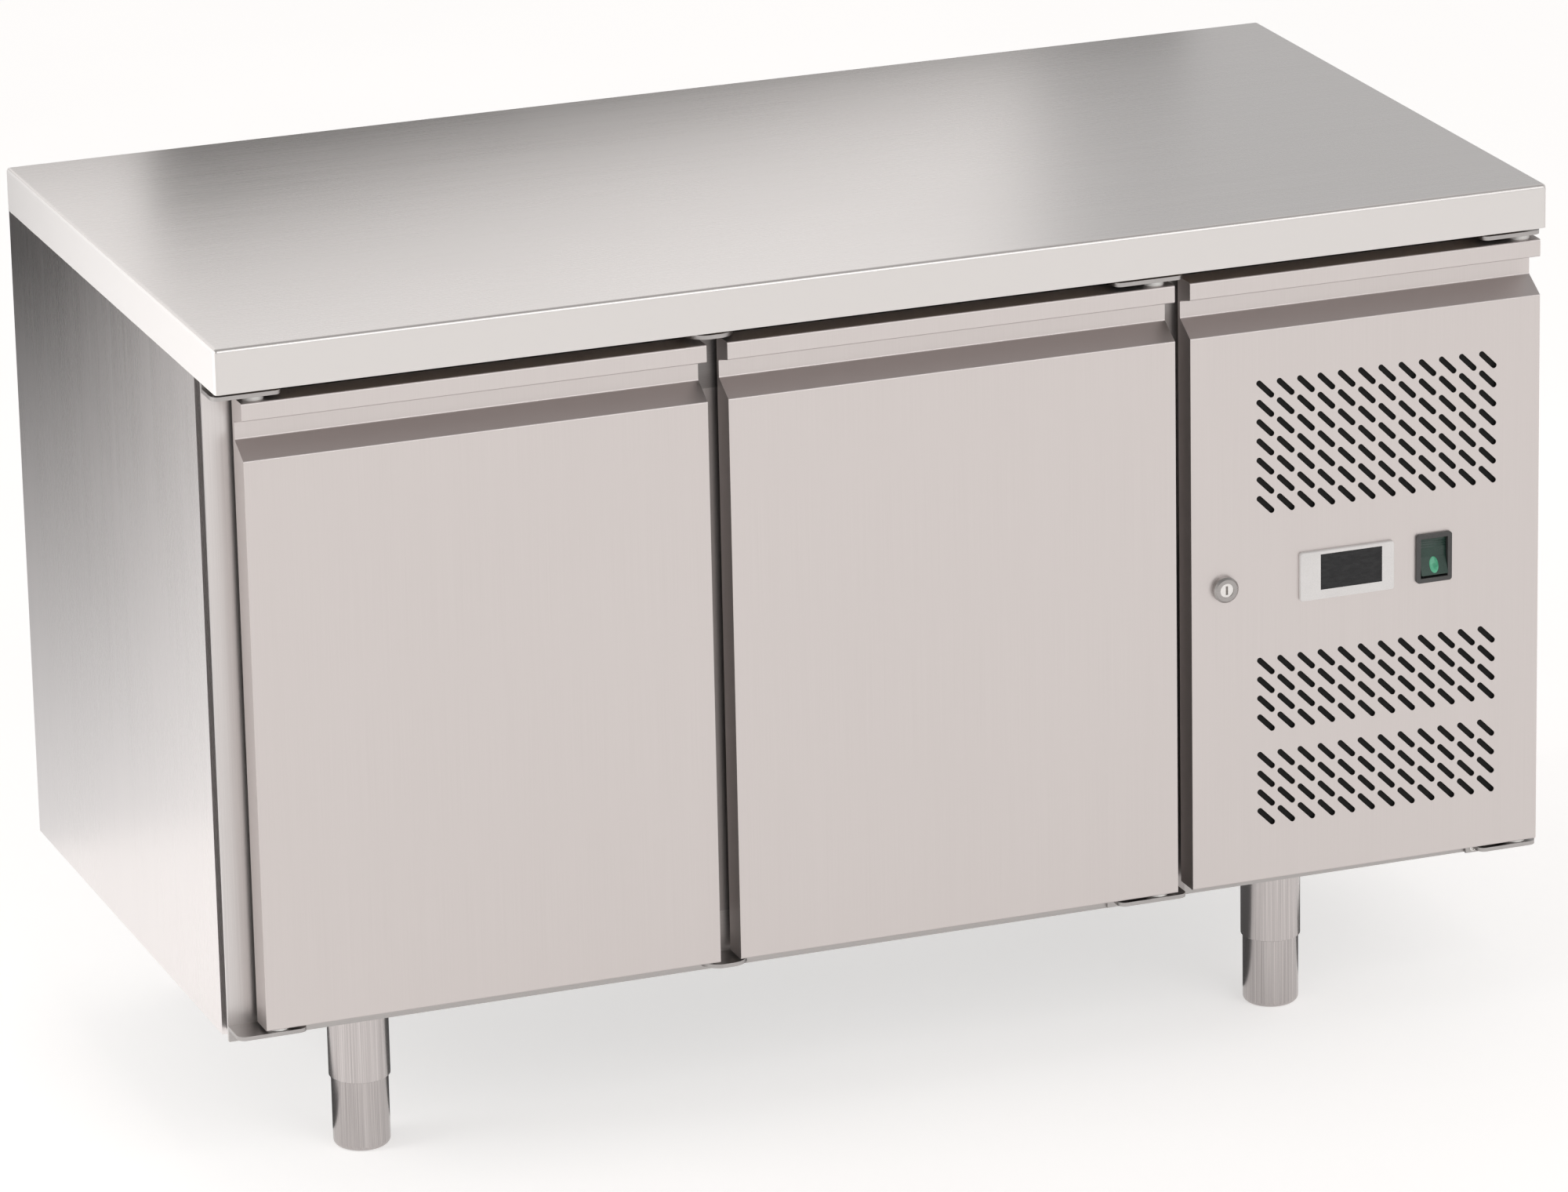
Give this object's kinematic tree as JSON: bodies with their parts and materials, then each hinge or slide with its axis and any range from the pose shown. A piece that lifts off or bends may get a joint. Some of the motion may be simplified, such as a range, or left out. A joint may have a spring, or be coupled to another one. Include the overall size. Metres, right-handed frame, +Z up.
{
  "type": "undercounter refrigerator",
  "caption": "Stainless refrigerated counter with hinged doors, a service panel over its compressor, a flat worktop and adjustable legs.",
  "frame": {"origin": "on the floor under the middle of the worktop", "axes": "+X to the right along the doors, -Y towards the person in front of the doors, +Z up"},
  "size_m": [1.36, 0.7, 0.85],
  "materials": {
    "stainless": "satin",
    "galvanised": "matte",
    "plated": "gloss",
    "fins": "satin",
    "copper": "satin",
    "black_paint": "satin",
    "coated_wire": "satin",
    "board": "matte",
    "foam": "matte",
    "gasket": "matte",
    "dark_trim": "satin",
    "white_plastic": "satin",
    "black_plastic": "satin",
    "black_window": "gloss",
    "green_lens": "gloss"
  },
  "bodies": {
    "cabinet": {"back_panel": "galvanised", "base_panel": "galvanised", "body_screws": "plated", "bottom_front_rails": "stainless", "centre_mullion": "stainless", "compressor": "black_paint", "compressor_back_grille": "galvanised", "condenser_coil": "black_paint", "condenser_fan_motor": "black_paint", "condenser_fan_shroud": "black_paint", "condensing_unit_tray": "galvanised", "defrost_water_tray": "galvanised", "divider_front_post": "stainless", "electrical_box": "black_plastic", "evaporator_coil": "fins", "evaporator_drip_tray": "fins", "evaporator_fan_guard": "plated", "evaporator_fan_motor": "black_paint", "evaporator_housing": "stainless", "hinge_brackets": "plated", "hinge_pins": "plated", "inner_liner": "stainless", "insulation_panels": "foam", "left_front_post": "stainless", "left_side_panel": "stainless", "left_wire_shelf": "coated_wire", "leg_tubes": "stainless", "plastic_trims": "dark_trim", "power_cord_gland": "black_plastic", "refrigerant_pipes": "copper", "right_side_panel": "stainless", "right_wire_shelf": "coated_wire", "shelf_supports": "stainless", "top_front_rails": "stainless", "worktop_board": "board", "worktop_skin": "stainless"},
    "door_1": {"door_1_skin": "stainless", "door_1_foam": "foam", "door_1_inner_panel": "stainless", "door_1_gasket": "gasket", "door_1_bushes": "white_plastic"},
    "door_2": {"door_2_skin": "stainless", "door_2_foam": "foam", "door_2_inner_panel": "stainless", "door_2_gasket": "gasket", "door_2_bushes": "white_plastic"},
    "service_door": {"service_panel": "stainless", "service_panel_bushes": "white_plastic", "thermostat_case": "white_plastic", "thermostat_window": "black_window", "switch_frame": "black_plastic", "lock_barrel": "plated"},
    "lock": {"lock_cylinder": "plated"},
    "rocker": {"switch_rocker": "green_lens"},
    "evaporator_fan": {"evaporator_fan_blade": "black_plastic"},
    "condenser_fan": {"condenser_fan_blade": "fins"},
    "foot_front_left_sleeve": {"foot_front_left": "stainless"},
    "foot_front_right_sleeve": {"foot_front_right": "stainless"},
    "foot_back_left_sleeve": {"foot_back_left": "stainless"},
    "foot_back_right_sleeve": {"foot_back_right": "stainless"}
  },
  "joints": [
    {"name": "door_1_hinge", "type": "hinge", "parent": "cabinet", "child": "door_1", "pos_m": [-0.6375, -0.328, 0.17], "axis": [0, 0, -1], "range_deg": [0, 100]},
    {"name": "door_2_hinge", "type": "hinge", "parent": "cabinet", "child": "door_2", "pos_m": [0.2715, -0.328, 0.17], "axis": [0, 0, 1], "range_deg": [0, 100]},
    {"name": "service_panel_hinge", "type": "hinge", "parent": "cabinet", "child": "service_door", "pos_m": [0.6605, -0.328, 0.17], "axis": [0, 0, 1], "range_deg": [0, 100]},
    {"name": "lock_turn", "type": "hinge", "parent": "service_door", "child": "lock", "pos_m": [0.3383, -0.33, 0.4786], "axis": [0, 1, 0], "range_deg": [0, 90]},
    {"name": "mains_rocker", "type": "hinge", "parent": "service_door", "child": "rocker", "pos_m": [0.5625, -0.337, 0.4815], "axis": [1, 0, 0], "range_deg": [0, 18]},
    {"name": "evaporator_fan_spin", "type": "hinge", "parent": "cabinet", "child": "evaporator_fan", "pos_m": [-0.183, -0.02, 0.358], "axis": [0, 0, 1], "continuous": true},
    {"name": "condenser_fan_spin", "type": "hinge", "parent": "cabinet", "child": "condenser_fan", "pos_m": [0.495, -0.14, 0.325], "axis": [0, 1, 0], "continuous": true},
    {"name": "foot_front_left_height", "type": "slide", "parent": "cabinet", "child": "foot_front_left_sleeve", "axis": [0, 0, -1], "range_m": [0, 0.05]},
    {"name": "foot_front_right_height", "type": "slide", "parent": "cabinet", "child": "foot_front_right_sleeve", "axis": [0, 0, -1], "range_m": [0, 0.05]},
    {"name": "foot_back_left_height", "type": "slide", "parent": "cabinet", "child": "foot_back_left_sleeve", "axis": [0, 0, -1], "range_m": [0, 0.05]},
    {"name": "foot_back_right_height", "type": "slide", "parent": "cabinet", "child": "foot_back_right_sleeve", "axis": [0, 0, -1], "range_m": [0, 0.05]}
  ]
}
